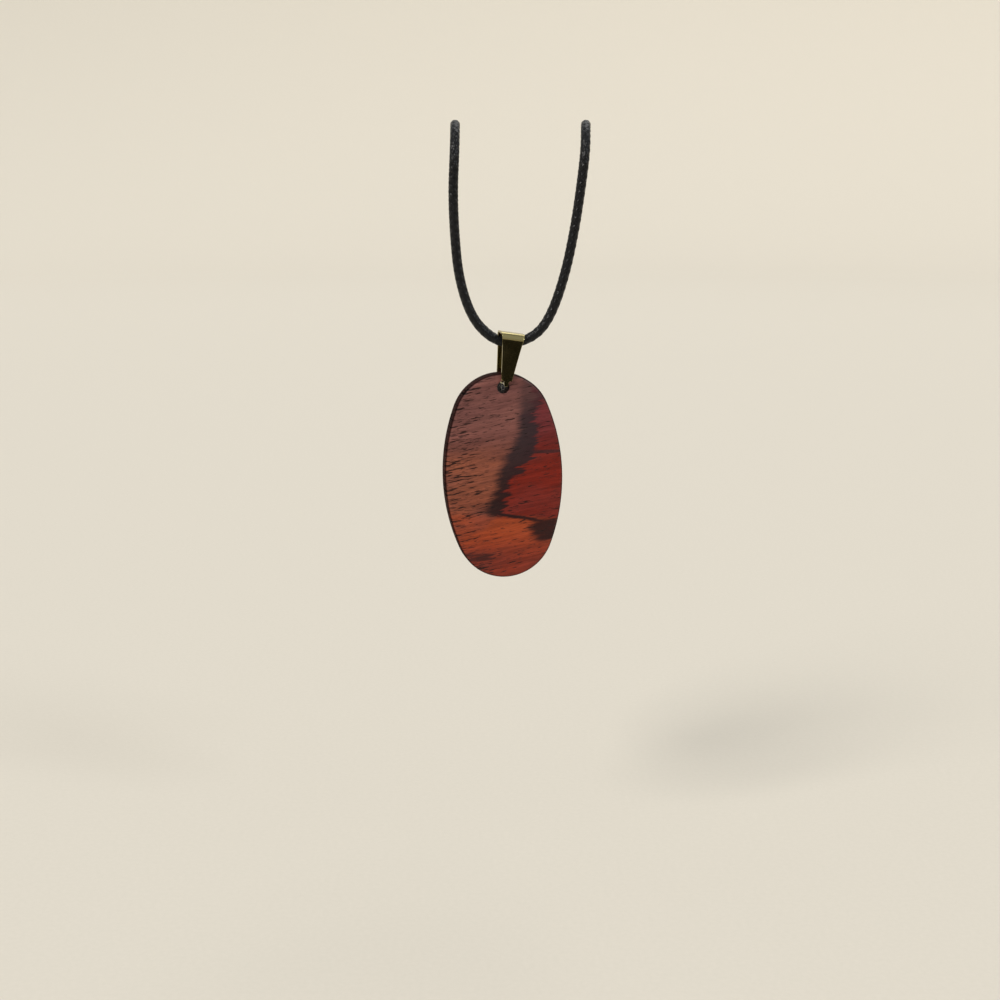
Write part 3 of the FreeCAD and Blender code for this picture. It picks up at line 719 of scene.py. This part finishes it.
def strip_width(z):
    if z > BAIL_LOW_Z:
        share = (z - BAIL_LOW_Z) / (BAIL_HEIGHT - BAIL_LOW_Z)
        return BAIL_LOW_W + (BAIL_TOP_W - BAIL_LOW_W) * (0.82 * share + 0.18 * share ** 6)
    if z > BAIL_NECK_Z:
        share = (z - BAIL_NECK_Z) / (BAIL_LOW_Z - BAIL_NECK_Z)
        return BAIL_TIP_W + (BAIL_LOW_W - BAIL_TIP_W) * (1 - math.sqrt(1 - share * share))
    share = (z - BAIL_TIP_Z) / (BAIL_NECK_Z - BAIL_TIP_Z)
    return BAIL_TIP_W * (0.45 + 0.55 * math.sqrt(max(0.0, share * (2 - share))))


def plain_mesh(holder):
    """What a helper object's modifiers make of it, as a plain mesh. The helper goes."""
    done = bpy.data.meshes.new_from_object(
        holder.evaluated_get(bpy.context.evaluated_depsgraph_get()))
    bpy.data.objects.remove(holder)
    return done


def bail_mesh():
    """The strip's middle surface gets its thickness and soft edges, then the prongs join it."""
    half, radius = BAIL_HALF + BAIL_SHEET / 2, BAIL_BEND_R - BAIL_SHEET / 2
    bend_z, top_z = BAIL_HEIGHT - BAIL_BEND_R, BAIL_HEIGHT - BAIL_SHEET / 2
    neck = [BAIL_TIP_Z + (BAIL_LOW_Z - BAIL_TIP_Z) * i / NECK_ROWS for i in range(NECK_ROWS)]
    leaf = [BAIL_LOW_Z + (bend_z - BAIL_LOW_Z) * i / LEAF_ROWS for i in range(LEAF_ROWS)]
    front = [(-half, z) for z in neck + leaf]
    for i in range(BEND_ROWS + 1):
        angle = math.pi / 2 * i / BEND_ROWS
        front.append((-half + radius * (1 - math.cos(angle)), bend_z + radius * math.sin(angle)))
    front.append(((radius - half) / 2, top_z + 0.00002))
    profile = front + [(0, top_z + 0.00003)] + [(-y, z) for y, z in reversed(front)]
    mesh = bmesh.new()
    rows = []
    for y, z in profile:
        half = strip_width(z) / 2
        rows.append([mesh.verts.new((half * (2 * i / BAIL_COLUMNS - 1), y, z))
                     for i in range(BAIL_COLUMNS + 1)])
    for row, after in zip(rows, rows[1:]):
        for i in range(BAIL_COLUMNS):
            mesh.faces.new((row[i], row[i + 1], after[i + 1], after[i]))
    strip = bpy.data.meshes.new("strip")
    mesh.to_mesh(strip)
    mesh.free()
    holder = put_in("strip", strip)
    solid = holder.modifiers.new("sheet", "SOLIDIFY")
    solid.thickness = BAIL_SHEET
    solid.offset = 0
    soft = holder.modifiers.new("edges", "BEVEL")
    soft.width = BAIL_EDGE
    soft.segments = 3
    soft.limit_method = "ANGLE"
    soft.angle_limit = math.radians(50)
    mesh = bmesh.new()
    mesh.from_mesh(plain_mesh(holder))
    turns = [math.tau * i / PRONG_SIDES for i in range(PRONG_SIDES)]
    spots = [(PRONG_TIP_Y, 0.55), (PRONG_TIP_Y + 0.00008, 0.86), (PRONG_TIP_Y + 0.0002, 1.0),
             (BAIL_HALF + BAIL_SHEET / 2, 1.0)]  # y, and the share of its full radius
    for side in (-1, 1):
        rings = []
        for y, share in spots:
            size = PRONG_R * share
            rings.append([mesh.verts.new((size * math.cos(turn), side * y, size * math.sin(turn)))
                          for turn in turns])
        for ring, after in zip(rings, rings[1:]):
            for i in range(PRONG_SIDES):
                j = (i + 1) % PRONG_SIDES
                quad = (ring[i], ring[j], after[j], after[i])
                mesh.faces.new(quad if side < 0 else quad[::-1])
        mesh.faces.new(rings[0][::-1] if side < 0 else rings[0])
        mesh.faces.new(rings[-1] if side < 0 else rings[-1][::-1])
    mesh.transform(bail_place)
    return finished("folded_bail", mesh, 35)


bail = add_piece("folded_bail", bail_mesh(), bail_gold_shaded)
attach(bail, "bail")
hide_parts("bail")

# ----------------------------------------------------------------------
# The cord's two end caps: gold-plated brass cups turned from rod, each pressed onto the cord in
# two crimped bands, with the seam of the pressing at the back and a soldered loop below.

END_R, END_LENGTH, END_FLOOR = 0.0014, 0.005, 0.0004
CRIMP_DEPTH, CRIMP_HALF = 0.00014, 0.00032
CAP_STEPS = 60
CAP_WALL, CAP_EASE = 0.00038, 0.00025  # its wall, and how far its foot is rounded over
SEAM_HALF, SEAM_DEPTH = 0.00006, 0.00007
LOOP_R, LOOP_WIRE = 0.00095, 0.0005
findings_gold = plated_metal(
    "findings_gold", (0.78, 0.60, 0.27, 1), (0.50, 0.36, 0.15, 1), 0.15, 0.6, 0.8)


def turned(mesh, profile, centre, segments=48):
    """Adds a closed turned shape round a vertical axis. profile runs from axis to axis."""
    rings = []
    for radius, z in profile:
        count = segments if radius > 0 else 1
        rings.append([mesh.verts.new(centre + Vector((
            radius * math.cos(math.tau * i / count), radius * math.sin(math.tau * i / count), z)))
            for i in range(count)])
    for ring, after in zip(rings, rings[1:]):
        for i in range(segments):
            j = (i + 1) % segments
            corners = [ring[i % len(ring)], ring[j % len(ring)],
                       after[j % len(after)], after[i % len(after)]]
            mesh.faces.new(list(dict.fromkeys(corners)))


def new_wire_tree(name, sizes):
    """A geometry tree with an input for each of these sizes and for its metal."""
    tree = bpy.data.node_groups.new(name, "GeometryNodeTree")
    tree.interface.new_socket(name="Geometry", in_out="INPUT", socket_type="NodeSocketGeometry")
    for size in sizes:
        tree.interface.new_socket(name=size, in_out="INPUT", socket_type="NodeSocketFloat")
    tree.interface.new_socket(name="Metal", in_out="INPUT", socket_type="NodeSocketMaterial")
    tree.interface.new_socket(name="Geometry", in_out="OUTPUT", socket_type="NodeSocketGeometry")
    return tree, tree.nodes.new("NodeGroupInput").outputs


def draw_wire(tree, given, line, sides):
    """Ends the tree with round wire of its metal along this line."""
    half_wire = calc(tree, "MULTIPLY", given["Wire"], 0.5)
    section = node(tree, "GeometryNodeCurvePrimitiveCircle", {
        "Resolution": sides, "Radius": half_wire}).outputs[0]
    wire = node(tree, "GeometryNodeCurveToMesh", {
        "Curve": line, "Profile Curve": section, "Fill Caps": True}).outputs[0]
    wire = node(tree, "GeometryNodeRealizeInstances", [wire]).outputs[0]
    wire = node(tree, "GeometryNodeSetMaterial", {
        "Geometry": wire, "Material": given["Metal"]}).outputs[0]
    tree.links.new(wire, tree.nodes.new("NodeGroupOutput").inputs[0])
    return tree


def wire_tree():
    """Bends round wire into a ring, or a link with straight sides, cut through at one side."""
    tree, given = new_wire_tree("bent_wire", ("Bend Radius", "Straight Half", "Wire", "Cut"))
    line = node(tree, "GeometryNodeCurvePrimitiveCircle", {
        "Resolution": 56, "Radius": given["Bend Radius"]}).outputs[0]
    spot = tree.nodes.new("GeometryNodeInputPosition").outputs[0]
    up = node(tree, "ShaderNodeSeparateXYZ", [spot]).outputs[1]
    shift = calc(tree, "MULTIPLY", calc(tree, "SIGN", up), given["Straight Half"])
    shift = node(tree, "ShaderNodeCombineXYZ", {1: shift}).outputs[0]
    line = node(tree, "GeometryNodeSetPosition", {"Geometry": line, "Offset": shift}).outputs[0]
    half_cut = calc(tree, "MULTIPLY", given["Cut"], 0.5)
    cut = node(tree, "GeometryNodeTrimCurve", {
        "Curve": line, "Start": half_cut, "End": calc(tree, "SUBTRACT", 1.0, half_cut)}).outputs[0]
    is_cut = calc(tree, "GREATER_THAN", given["Cut"], 0.0)
    line = node(tree, "GeometryNodeSwitch", {"Switch": is_cut, "False": line, "True": cut},
                input_type="GEOMETRY").outputs[0]
    return draw_wire(tree, given, line, 16)


bent_wire = wire_tree()
FACING = Matrix.Rotation(math.radians(90), 4, "X")  # in the plane of X and Z
SIDEWAYS = Matrix.Rotation(math.radians(90), 4, "Z") @ FACING  # in the plane of Y and Z


def grown(tree, sizes, place):
    """What a geometry tree makes with these inputs, as a plain mesh in its place."""
    holder = put_in(tree.name, bpy.data.meshes.new(tree.name))
    maker = holder.modifiers.new(tree.name, "NODES")
    maker.node_group = tree
    for socket in tree.interface.items_tree:
        if socket.in_out == "INPUT" and socket.name in sizes:
            maker[socket.identifier] = sizes[socket.name]
    done = plain_mesh(holder)
    done.transform(place)
    return done


def wire_mesh(bend_radius, straight_half, wire, cut, centre, way):
    """A ring or a link. cut is the gap between the two ends of its wire."""
    sizes = {"Bend Radius": bend_radius, "Straight Half": straight_half, "Wire": wire,
             "Cut": cut / (math.tau * bend_radius + 4 * straight_half), "Metal": findings_gold}
    return grown(bent_wire, sizes, Matrix.Translation(centre) @ way)


def end_cap(name, end, nodes):
    """A cup for the end of the cord at this point, with its crimps, seam and loop."""
    profile = [(0, -END_FLOOR), (END_R - CAP_EASE, -END_FLOOR),
               (END_R - 0.00007, -END_FLOOR + 0.00007), (END_R, -END_FLOOR + CAP_EASE)]
    for step in range(CAP_STEPS + 1):
        z = -END_FLOOR + 0.0003 + (END_LENGTH + END_FLOOR - 0.0005) * step / CAP_STEPS
        dent = sum(math.exp(-((z - band) / CRIMP_HALF) ** 2)
                   for band in (0.28 * END_LENGTH, 0.72 * END_LENGTH))
        profile.append((END_R - CRIMP_DEPTH * dent, z))
    profile += [(END_R - 0.00004, END_LENGTH - 0.00008), (END_R - 0.00013, END_LENGTH),
                (END_R - 0.00028, END_LENGTH), (END_R - 0.00036, END_LENGTH - 0.00010),
                (END_R - CAP_WALL, END_LENGTH - 0.0003), (END_R - CAP_WALL, 0), (0, 0)]
    mesh = bmesh.new()
    turned(mesh, profile, end, 72)
    for vert in mesh.verts:
        out = vert.co - end
        outside = math.hypot(out.x, out.y) > END_R - 0.0002
        if outside and out.y > 0 and abs(out.x) < SEAM_HALF:
            vert.co.y -= SEAM_DEPTH
    loop_centre = end - Vector((0, 0, END_FLOOR + LOOP_R))
    mesh.from_mesh(wire_mesh(LOOP_R, 0, LOOP_WIRE, 0, loop_centre, FACING))
    piece = add_piece(name, finished(name, mesh), findings_gold)
    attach(piece, "cord")
    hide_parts(*nodes)
    return piece


left_cap = end_cap("end_cap_left", Vector(left_route[-1]), ["cord_end_left"])
right_cap = end_cap("end_cap_right", Vector(right_route[-1]), ["cord_end_right"])

# ----------------------------------------------------------------------
# The hank tie: three turns of waxed thread, laid up from three plies and wound round the folded
# cord, with their ends knotted at the back and trimmed.

TIE_WIRE = 0.0008
TIE_PITCH = 0.00075
TIE_TURNS = 3
TIE_PLY = 0.0021  # length of one twist of its plies
TIE_STEP = 0.00012  # between its rings of points
KNOT_R, KNOT_DEEP = 0.00052, 0.00028
TIE_BLACK, TIE_LINT = (0.008, 0.008, 0.009, 1), (0.030, 0.030, 0.034, 1)
tie_low, tie_high = (Vector(corner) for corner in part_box("hank_tie"))
tie_middle = box_middle("hank_tie")
tie_bend = (tie_high.x - tie_low.x) / 2 - TIE_WIRE / 2
tie_straight = (tie_high.y - tie_low.y) / 2 - TIE_WIRE / 2 - tie_bend
tie_thread, tie_tree, tie_shader = new_material(
    "tie_thread", Roughness=0.48, Specular_IOR_Level=0.4, Sheen_Weight=0.15)
tie_place = node(tie_tree, "ShaderNodeTexCoord").outputs["Object"]
lint = node(tie_tree, "ShaderNodeTexNoise", {
    "Vector": tie_place, "Scale": 6000.0, "Detail": 3.0}).outputs[0]
tie_colour = tint(tie_tree, ease(tie_tree, lint, 0.4, 0.75), TIE_BLACK, TIE_LINT)
tie_tree.links.new(tie_colour, tie_shader.inputs["Base Color"])
tie_bump = node(tie_tree, "ShaderNodeBump", {"Strength": 0.6, "Distance": 0.00004,
                                            "Height": lint}).outputs[0]
tie_tree.links.new(tie_bump, tie_shader.inputs["Normal"])


def ply_radius(turn, along):
    """Three plies twisted round each other."""
    lobes = np.abs(np.cos(np.pi * 3 * (turn - along / TIE_PLY)))
    return TIE_WIRE / 2 * (0.80 + 0.20 * lobes)


def round_hank(share, lift):
    """A point on the way round the hank, from the middle of its back, and its height."""
    quarter, side = math.pi / 2 * tie_bend, 2 * tie_straight
    run = share % 1 * (4 * quarter + 2 * side)
    if run < quarter:
        angle, end = math.pi / 2 - run / tie_bend, tie_straight
    elif run < quarter + side:
        return tie_middle + Vector((tie_bend, tie_straight - (run - quarter), lift))
    elif run < 3 * quarter + side:
        angle, end = -(run - quarter - side) / tie_bend, -tie_straight
    elif run < 3 * quarter + 2 * side:
        return tie_middle + Vector((-tie_bend, run - 3 * quarter - side - tie_straight, lift))
    else:
        angle, end = math.pi - (run - 3 * quarter - 2 * side) / tie_bend, tie_straight
    x, y = tie_bend * math.cos(angle), end + tie_bend * math.sin(angle)
    return tie_middle + Vector((x, y, lift))


def tie_mesh():
    winding = [round_hank(TIE_TURNS * i / 240, (i / 240 - 0.5) * TIE_TURNS * TIE_PITCH)
               for i in range(241)]
    back = tie_middle + Vector((0, tie_straight + tie_bend + 0.00055, 0))
    knot = []
    for i in range(121):  # an overhand knot drawn tight, closed on itself
        angle = math.tau * i / 120
        knot.append(back + Vector((
            KNOT_R * (math.sin(angle) + 2 * math.sin(2 * angle)) / 2,
            KNOT_DEEP * math.sin(3 * angle),
            KNOT_R * (math.cos(angle) - 2 * math.cos(2 * angle)) / 2)))
    tails = []
    for side in (-1, 1):
        tails.append([back + Vector((
            side * (0.0002 + 0.0016 * t), 0.0001 + 0.0009 * math.sin(2.2 * t),
            -0.0003 - 0.0038 * t * t - side * 0.0004 * t)) for t in (i / 40 for i in range(41))])
    mesh = bmesh.new()
    for line in [winding, knot] + tails:
        path = evenly(np.array([point[:] for point in line]), TIE_STEP)
        mesh.from_mesh(tube_mesh("thread", path, 16, ply_radius))
    return finished("hank_tie_thread", mesh, 180)


tie = add_piece("hank_tie_thread", tie_mesh(), tie_thread)
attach(tie, "cord")
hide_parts("hank_tie")

# ----------------------------------------------------------------------
# The rings and the extension chain: gold-plated brass wire bent round and closed with pliers, so
# each has a fine cut at one side. The chain ends in a small turned drop on a ring of its own.

RING_R, RING_WIRE = 0.00155, 0.0005
LINK_COUNT, LINK_LENGTH, LINK_WIDTH, LINK_WIRE = 7, 0.0031, 0.0023, 0.00045
DROP_RING_R, DROP_EYE_R, DROP_R = 0.0011, 0.00075, 0.0015
DROP_NECK_R = 0.00030
DROP_STEPS, TAPER_STEPS = 28, 18
WIRE_CUT = 0.00006


def ring_piece(name, bend_radius, straight_half, wire, way):
    """A ring or link in the place of the CAD node of this name."""
    mesh = bmesh.new()
    mesh.from_mesh(wire_mesh(bend_radius, straight_half, wire, WIRE_CUT, box_middle(name), way))
    piece = add_piece("gold_" + name, finished("gold_" + name, mesh), findings_gold)
    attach(piece, name)
    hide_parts(name)


for name in ("clasp_ring", "chain_ring"):
    ring_piece(name, RING_R, 0, RING_WIRE, SIDEWAYS)
for number in range(1, LINK_COUNT + 1):
    ring_piece("chain_link_%d" % number, (LINK_WIDTH - LINK_WIRE) / 2,
               (LINK_LENGTH - LINK_WIDTH) / 2, LINK_WIRE, FACING if number % 2 else SIDEWAYS)
ring_piece("drop_ring", DROP_RING_R, 0, LINK_WIRE, SIDEWAYS)

drop_low, drop_high = (Vector(corner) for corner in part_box("chain_drop"))
ball = box_middle("chain_drop")
ball.z = drop_low.z + DROP_R
neck_z = drop_high.z - 2 * DROP_EYE_R - ball.z
drop_profile = [(0, -DROP_R)]
for step in range(1, DROP_STEPS + 1):
    angle = math.radians(-90 + 120 * step / DROP_STEPS)
    drop_profile.append((DROP_R * math.cos(angle), DROP_R * math.sin(angle)))
start_r, start_z = drop_profile[-1]
for step in range(1, TAPER_STEPS + 1):
    share = step / TAPER_STEPS
    drop_profile.append((start_r + (DROP_NECK_R - start_r) * share ** 0.82,
                         start_z + (neck_z - 0.0003 - start_z) * share))
drop_profile += [(0.00048, neck_z - 0.00026), (0.00052, neck_z - 0.00015),
                 (0.00046, neck_z - 0.00004), (0.00025, neck_z), (0, neck_z)]
mesh = bmesh.new()
turned(mesh, drop_profile, ball)
eye_place = Vector((ball.x, ball.y, drop_high.z - LINK_WIRE / 2 - DROP_EYE_R))
mesh.from_mesh(wire_mesh(DROP_EYE_R, 0, LINK_WIRE, 0, eye_place, FACING))
drop = add_piece("gold_chain_drop", finished("gold_chain_drop", mesh), findings_gold)
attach(drop, "chain_drop")
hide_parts("chain_drop")

# ----------------------------------------------------------------------
# The claw clasp: a cast brass body with its eye and hook, a sprung lever that turns on a riveted
# pin, and the coil spring under the lever's heel. The castings are tumbled, so they are rounded.

CAST_GRAIN, LEVER_GRAIN = 0.00007, 0.00005  # how fine the castings are remade


def cast(name, source, grain, passes):
    """The CAD part's shape with its edges rounded, as tumbling leaves a casting."""
    mesh = bmesh.new()
    mesh.from_mesh(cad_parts[source].data)
    bmesh.ops.remove_doubles(mesh, verts=mesh.verts, dist=1e-7)
    merged = bpy.data.meshes.new(name)
    mesh.to_mesh(merged)
    mesh.free()
    holder = put_in(name, merged)
    remade = holder.modifiers.new("remade", "REMESH")
    remade.mode = "VOXEL"
    remade.voxel_size = grain
    tumbled = holder.modifiers.new("tumbled", "SMOOTH")
    tumbled.factor = 0.5
    tumbled.iterations = passes
    done = plain_mesh(holder)
    done.shade_smooth()
    return done


for name, source, body, grain, passes in (
        ("cast_clasp", "clasp_body", "clasp", CAST_GRAIN, 7),
        ("cast_lever", "clasp_lever", "lever", LEVER_GRAIN, 5)):
    casting = add_piece(name, cast(name, source, grain, passes), findings_gold)
    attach(casting, body)
    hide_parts(source)

PIN_R, PIN_DOME = 0.00035, 0.00006
pin_middle = box_middle("clasp_pin")
pin_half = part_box("clasp_pin")[1][1] - pin_middle.y
pin_top = [(PIN_R, pin_half), (0.6 * PIN_R, pin_half + 0.6 * PIN_DOME), (0, pin_half + PIN_DOME)]
pin_profile = [(radius, -z) for radius, z in reversed(pin_top)] + pin_top
mesh = bmesh.new()
turned(mesh, pin_profile, Vector((0, 0, 0)), 24)
mesh.transform(Matrix.Translation(pin_middle) @ FACING)
pin = add_piece("clasp_rivet", finished("clasp_rivet", mesh), findings_gold)
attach(pin, "clasp")
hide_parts("clasp_pin")

SPRING_WIRE, SPRING_TURNS = 0.00016, 4
spring_steel = plated_metal(
    "spring_steel", (0.62, 0.62, 0.63, 1), (0.42, 0.42, 0.43, 1), 0.22, 0.5, 0.5)


def spring_tree():
    """A coil spring of round wire that stands on its lower end."""
    tree, given = new_wire_tree("coil_spring", ("Turns", "Coil Radius", "Rise", "Wire"))
    line = node(tree, "GeometryNodeCurveSpiral", {
        "Resolution": 32, "Rotations": given["Turns"], "Start Radius": given["Coil Radius"],
        "End Radius": given["Coil Radius"], "Height": given["Rise"]}).outputs[0]
    return draw_wire(tree, given, line, 12)


spring_low, spring_high = (Vector(corner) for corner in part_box("clasp_spring"))
spring_foot = box_middle("clasp_spring")
spring_foot.z = spring_low.z + SPRING_WIRE / 2
spring_sizes = {
    "Turns": float(SPRING_TURNS), "Wire": SPRING_WIRE, "Metal": spring_steel,
    "Coil Radius": (spring_high.x - spring_low.x - SPRING_WIRE) / 2,
    "Rise": spring_high.z - spring_low.z - SPRING_WIRE}
mesh = bmesh.new()
mesh.from_mesh(grown(spring_tree(), spring_sizes, Matrix.Translation(spring_foot)))
spring = add_piece("lever_spring", finished("lever_spring", mesh), spring_steel)
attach(spring, "clasp")
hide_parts("clasp_spring")
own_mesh(spring)
